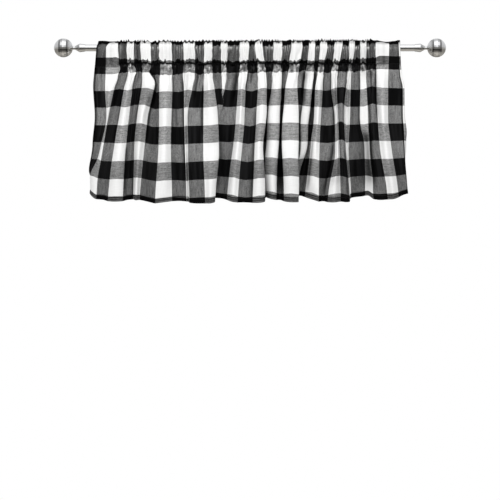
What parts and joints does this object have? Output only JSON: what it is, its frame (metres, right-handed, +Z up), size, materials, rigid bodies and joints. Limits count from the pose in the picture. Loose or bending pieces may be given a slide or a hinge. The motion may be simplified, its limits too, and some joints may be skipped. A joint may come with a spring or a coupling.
{
  "type": "rod-pocket window valance on a curtain rod",
  "caption": "Short gathered rod-pocket valance in black and white buffalo check cloth, hung in loose vertical folds on a slim metal curtain rod with ball finials.",
  "frame": {"origin": "on the curtain rod's axis, halfway along its length", "axes": "+X along the rod to the viewer's right, +Y away from the viewer towards the window, +Z up"},
  "size_m": [0.933, 0.0771, 0.3971],
  "materials": {
    "cloth": "woven cotton, black and white check, matt",
    "metal": "satin nickel"
  },
  "bodies": {
    "root": {"valance_panel": "cloth", "curtain_rod": "metal", "finial_left": "metal", "finial_right": "metal"}
  },
  "joints": []
}
